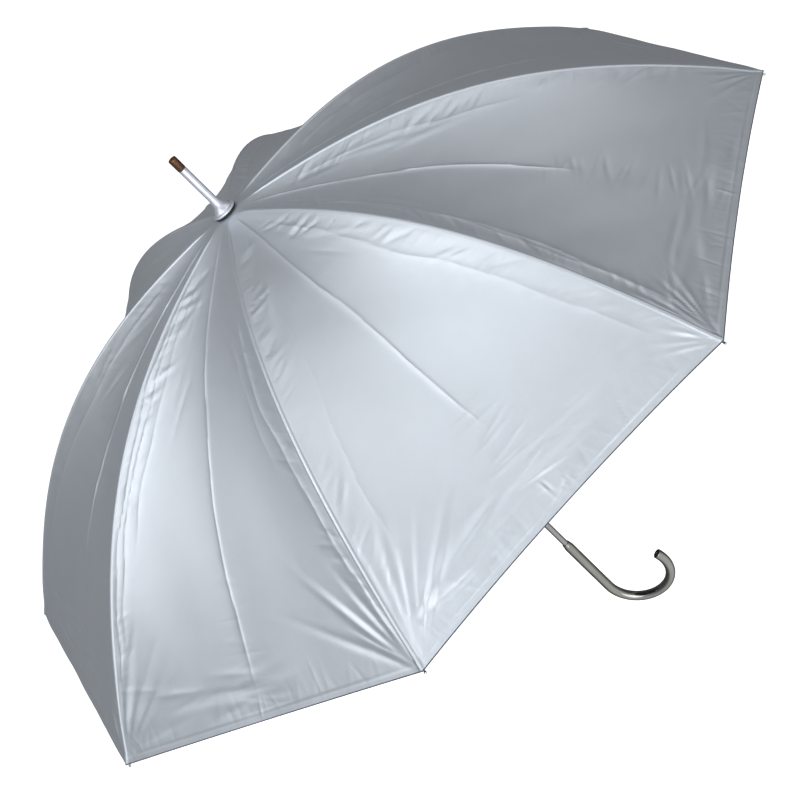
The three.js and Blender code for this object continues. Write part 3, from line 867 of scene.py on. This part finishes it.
def make_ferrule():
    """The ferrule with its flared cap, the bronze band at its end and the washer under the cap."""
    flare_height, flare_radius, steps = 19.0, 11.5, 18
    outline = [(FERRULE_BORE, CAP_BOTTOM), (CAP_RADIUS - 1.2, CAP_BOTTOM)]
    outline += arc((CAP_RADIUS - 1.3, CAP_BOTTOM + 1.4), 1.35, -75, 95, 9)
    for i in range(steps + 1):
        t = i / steps
        radius = FERRULE_RADIUS + (flare_radius - FERRULE_RADIUS) * (1 - t) ** 2.4
        outline.append((radius, CAP_BOTTOM + 3.2 + flare_height * t))
    top = FERRULE_TOP - FERRULE_BAND
    outline += [(FERRULE_RADIUS, top - 0.9), (FERRULE_RADIUS - 0.3, top - 0.3), (FERRULE_BORE, top - 0.3)]
    piece = lathe("ferrule_trumpet", lifted(outline, CROWN_Z), aluminium)
    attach(piece, "frame")
    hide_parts("ferrule")

    radius = FERRULE_RADIUS + 0.15
    band = [(0, top), (radius - 0.3, top), (radius, top + 0.4), (radius, FERRULE_TOP - 1.2)]
    band += arc((radius - 1.0, FERRULE_TOP - 1.0), 1.0, 0, 80, 6) + [(0, FERRULE_TOP)]
    tip = lathe("ferrule_end_band", lifted(band, CROWN_Z), bronze)
    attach(tip, "frame")
    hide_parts("ferrule_tip")

    round_edge = (WASHER_TOP - WASHER_BOTTOM) / 2
    ring = [(FERRULE_BORE, WASHER_BOTTOM)]
    ring += arc((WASHER_RADIUS - round_edge, WASHER_BOTTOM + round_edge), round_edge, -80, 80, 7)
    ring += [(FERRULE_BORE, WASHER_TOP)]
    washer = lathe("cap_seal_ring", lifted(ring, CROWN_Z), black)
    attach(washer, "frame")
    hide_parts("cap_washer")


# ---- Closing strap --------------------------------------------------------------------------


def make_strap():
    """The strap under the middle of the gore between ribs 2 and 3, sewn in at the hem, with a snap."""
    k, lift, hem_end = 2, CANOPY_CLEARANCE - STRAP_INSET, RIB_LENGTH - STRAP_INSET
    ends = [
        placed(half_gore_point(k, 1, np.array([s]), np.array([0.5]), lift, False), k)[0]
        for s in (hem_end, hem_end - STRAP_LENGTH)
    ]
    hem_point, inward = ends[0], ends[1] - ends[0]
    inward /= np.linalg.norm(inward)
    middle = rib_angle(k) + GORE / 2
    sideways = np.array([-math.sin(middle), math.cos(middle), 0.0])
    up = np.cross(inward, sideways)
    up *= math.copysign(1.0, up[2])

    half = STRAP_WIDTH / 2
    # The free end is round. Just short of 90 degrees, its last row keeps a little width.
    rounded = half * np.sin(np.linspace(0, math.radians(86), 12))[1:]
    run = np.append(np.linspace(0, STRAP_LENGTH - half, 56), STRAP_LENGTH - half + rounded)
    past = np.clip((run - (STRAP_LENGTH - half)) / half, 0, 1)
    reach = half * np.sqrt(1 - past ** 2)
    across = np.linspace(-1, 1, 25)
    w = reach[:, None] * across
    edge = reach[:, None] - np.abs(w)
    thick = 0.5 * np.clip(edge / 0.5, 0.35, 1) ** 0.5
    groove = 0.14 * np.exp(-((edge - 2.0) / 0.5) ** 2)
    bend = 0.35 * np.sin(run / 17.0)[:, None] + 0.12 * np.sin(w / 3.0 + run[:, None] / 9.0)
    centre = hem_point + run[:, None, None] * inward + w[..., None] * sideways + bend[..., None] * up
    top = centre + (thick - groove)[..., None] * up
    under = centre - (thick - groove)[..., None] * up
    uv = np.stack([w, np.broadcast_to(run[:, None], w.shape)], axis=-1)
    normals = np.cross(np.gradient(top, axis=0), np.gradient(top, axis=1))
    normals /= np.linalg.norm(normals, axis=-1, keepdims=True)
    normals *= np.sign(normals @ up)[..., None]
    piece = shell("closing_strap", (top, under, uv, normals), (webbing, webbing))
    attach(piece, "rib_end_2")
    pleat(piece)
    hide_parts("tie_strap")

    outline = [(0, -2.2), (1.6, -2.2), (2.0, -3.0)] + arc((2.8, -3.0), 0.5, 180, 360, 6)
    outline += [(3.5, -2.4), (4.9, -2.1)] + arc((4.9, -1.6), 0.5, -90, 60, 5) + [(4.6, -0.8), (0, -0.8)]
    stud = lathe("strap_snap_stud", outline, bright_wire, sides=40)
    at = hem_point + (STRAP_LENGTH - SNAP_INSET) * inward
    place = Matrix((
        (inward[0], sideways[0], up[0], at[0] * MM),
        (inward[1], sideways[1], up[1], at[1] * MM),
        (inward[2], sideways[2], up[2], at[2] * MM),
        (0, 0, 0, 1),
    ))
    stud.data.transform(place)
    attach(stud, "rib_end_2")
    pleat(stud)
    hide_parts("strap_snap")


# ---- Handle ---------------------------------------------------------------------------------


def crook_point(run):
    """A point of the handle's centreline, run past the start of the bend."""
    if run <= 0:
        return (0.0, 0.0, CROOK_START - run)
    turn = run / CROOK_RADIUS
    return (CROOK_RADIUS * (1 - math.cos(turn)), 0.0, CROOK_START - CROOK_RADIUS * math.sin(turn))


def make_handle():
    """The bent tube with its swaged neck, and the plug in its open end."""
    arc_length = math.radians(CROOK_TURN) * CROOK_RADIUS
    straight = HANDLE_TOP - CROOK_START
    # The neck: how far below the handle's top, and the radius there.
    neck = [(0.0, 4.75), (0.5, 5.0), (1.3, 5.1), (1.8, 5.0)]
    neck += [(2.3, 5.25), (4.5, 5.6), (6.5, 5.95), (8.0, 6.08)]
    runs = [d - straight for d, _ in neck] + list(np.linspace(9.5 - straight, 0, 14))
    radii = [r for _, r in neck] + [HANDLE_RADIUS] * 14
    bend = list(np.linspace(0, arc_length, 60))[1:]
    runs += bend
    radii += [HANDLE_RADIUS] * len(bend)
    # The open end turns in over a rounded lip and back down the bore.
    lip = [(0.45, -0.15), (0.7, -0.45), (0.75, -0.8)]
    bore = [(0.6, -1.1), (-1.0, -1.3), (-6.0, -1.35)]
    runs[-1] = arc_length - 0.2
    for ahead, inset in lip + bore:
        runs.append(arc_length + ahead)
        radii.append(HANDLE_RADIUS + inset)
    centres = [crook_point(run) for run in runs]
    piece = tube_on_line("crook_handle", centres, radii, runs, nickel)
    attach(piece, "frame")
    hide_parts("handle")

    turn = math.radians(CROOK_TURN)
    outline = [(0, -5.5), (4.6, -5.5), (4.6, -1.0)] + arc((3.9, -1.0), 0.7, 0, 85, 5) + [(0, 0.1)]
    plug = lathe("crook_end_plug", outline, black, sides=40)
    spin = Matrix.Rotation(math.pi - turn, 4, "Y")
    place = Matrix.Translation(Vector(crook_point(arc_length)) * MM)
    plug.data.transform(place @ spin)
    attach(plug, "frame")
    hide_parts("handle_plug")


def tube_on_line(name, centres, radii, runs, look, sides=48):
    """A solid of round sections, each square to the crook's own line at its run."""
    points, faces = [], []
    side = np.array([0.0, 1.0, 0.0])
    for centre, radius, run in zip(centres, radii, runs):
        turn = max(run, 0.0) / CROOK_RADIUS
        direction = np.array([math.sin(turn), 0.0, -math.cos(turn)])
        up = np.cross(direction, side)
        for a in np.linspace(0, 2 * math.pi, sides, endpoint=False):
            points.append(np.array(centre) + radius * (math.cos(a) * side + math.sin(a) * up))
    for i in range(len(centres) - 1):
        for a in range(sides):
            b = (a + 1) % sides
            faces.append([i * sides + a, i * sides + b, (i + 1) * sides + b, (i + 1) * sides + a])
    faces.append(list(range(sides)))
    faces.append([(len(centres) - 1) * sides + a for a in range(sides)])
    return finished(name, points, faces, look)


# ---- Stage, light and camera ----------------------------------------------------------------

CAMERA_PLACE = (1.0311, -1.6555, 1.3715)
CAMERA_TURN = (53.13, 39.31, 6.40)
CAMERA_LENS = 85.74
CAMERA_SHIFT = (-0.0139, -0.0143)
LAMP_DISTANCE = 2.8
LAMP_SIZE = 2.2
LAMP_TARGET = (0.0, 0.0, 0.55)
COOL = (0.95, 0.975, 1.0)
FLOOR_SIZE = 30.0
FLOOR_HEIGHT = -0.9
ROOM = 0.13                 # strength of the light from all round
GLOW = 0.93                 # strength of the pale glow, brightest the way GLOW_TOWARDS points
GLOW_TOWARDS = (0.48, -0.77, -0.42)


def make_camera():
    """The camera at the photograph's angle, fitted to the umbrella's ribs."""
    data = bpy.data.cameras.new("camera")
    data.lens = CAMERA_LENS
    data.sensor_width = 36.0
    data.shift_x, data.shift_y = CAMERA_SHIFT
    data.clip_end = 100.0
    made = bpy.data.objects.new("camera", data)
    made.location = CAMERA_PLACE
    made.rotation_euler = Euler([math.radians(a) for a in CAMERA_TURN], "XYZ")
    bpy.context.scene.collection.objects.link(made)
    bpy.context.scene.camera = made


def area_light(name, azimuth, elevation, power, color=(1.0, 1.0, 1.0)):
    """A soft square lamp round the canopy's middle, aimed at it. Degrees, the azimuth from +X."""
    a, e = math.radians(azimuth), math.radians(elevation)
    away = Vector((math.cos(a) * math.cos(e), math.sin(a) * math.cos(e), math.sin(e)))
    data = bpy.data.lights.new(name, "AREA")
    data.shape = "SQUARE"
    data.size = LAMP_SIZE
    data.energy = power
    data.color = color
    made = bpy.data.objects.new(name, data)
    made.location = Vector(LAMP_TARGET) + away * LAMP_DISTANCE
    made.rotation_euler = (-away).to_track_quat("-Z", "Y").to_euler()
    bpy.context.scene.collection.objects.link(made)


def make_stage():
    """A white floor and a dim studio, with a white background that only the camera sees."""
    size, height = FLOOR_SIZE, FLOOR_HEIGHT
    mesh = bpy.data.meshes.new("floor")
    corners = [(-size, -size, height), (size, -size, height), (size, size, height), (-size, size, height)]
    mesh.from_pydata(corners, [], [(0, 1, 2, 3)])
    floor = bpy.data.objects.new("floor", mesh)
    bpy.context.scene.collection.objects.link(floor)
    white = Shader("floor_white", (0.9, 0.9, 0.9), 0.9)
    white.body.inputs["Emission Color"].default_value = (1.0, 1.0, 1.0, 1.0)
    white.body.inputs["Emission Strength"].default_value = 1.0
    mesh.materials.append(white.material)
    floor.visible_diffuse = False
    floor.visible_glossy = False
    floor.visible_shadow = False

    world = bpy.data.worlds.new("studio")
    world.use_nodes = True
    nodes, links = world.node_tree.nodes, world.node_tree.links
    path = nodes.new("ShaderNodeLightPath")
    seen = nodes.new("ShaderNodeBackground")
    seen.inputs["Color"].default_value = (1.0, 1.0, 1.0, 1.0)
    seen.inputs["Strength"].default_value = 1.05
    around = nodes["Background"]
    around.inputs["Color"].default_value = (0.95, 0.97, 1.0, 1.0)
    # The room is dim, with a broad pale glow low in front, which the bare metal mirrors.
    direction = nodes.new("ShaderNodeTexCoord")
    facing = nodes.new("ShaderNodeVectorMath")
    facing.operation = "DOT_PRODUCT"
    facing.inputs[1].default_value = GLOW_TOWARDS
    glow = nodes.new("ShaderNodeMapRange")
    glow.interpolation_type = "SMOOTHSTEP"
    for socket, value in (("From Min", 0.0), ("From Max", 0.9), ("To Min", ROOM), ("To Max", GLOW)):
        glow.inputs[socket].default_value = value
    links.new(direction.outputs["Generated"], facing.inputs[0])
    links.new(facing.outputs["Value"], glow.inputs["Value"])
    links.new(glow.outputs["Result"], around.inputs["Strength"])
    mix = nodes.new("ShaderNodeMixShader")
    links.new(path.outputs["Is Camera Ray"], mix.inputs["Fac"])
    links.new(around.outputs["Background"], mix.inputs[1])
    links.new(seen.outputs["Background"], mix.inputs[2])
    links.new(mix.outputs["Shader"], nodes["World Output"].inputs["Surface"])
    bpy.context.scene.world = world
    bpy.context.scene.view_settings.view_transform = "Standard"


def make_lights():
    """Six soft lamps: name, azimuth, elevation, power, colour."""
    area_light("top_soft", -90, 80, 11, COOL)
    area_light("front_high", 248, 55, 18, COOL)
    area_light("front_low", -68, 5, 30, COOL)
    area_light("left_high", 202, 55, 8.5)
    area_light("right_high", 22, 55, 9.7)
    area_light("side_high", -22, 55, 3.4)


# ---- The whole umbrella ---------------------------------------------------------------------

dress_cad_nodes()
make_camera()
make_stage()
make_lights()
make_ferrule()
make_handle()
make_strap()
for rib in range(1, RIB_COUNT + 1):
    for zone in ("inner", "outer"):
        band = make_cloth(rib, zone, "band", 0, (silver, lining))
        if zone == "inner":
            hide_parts(f"canopy_panel_{rib}")
        for side in (1, -1):
            make_cloth(rib, zone, "gore", side, (silver, lining))
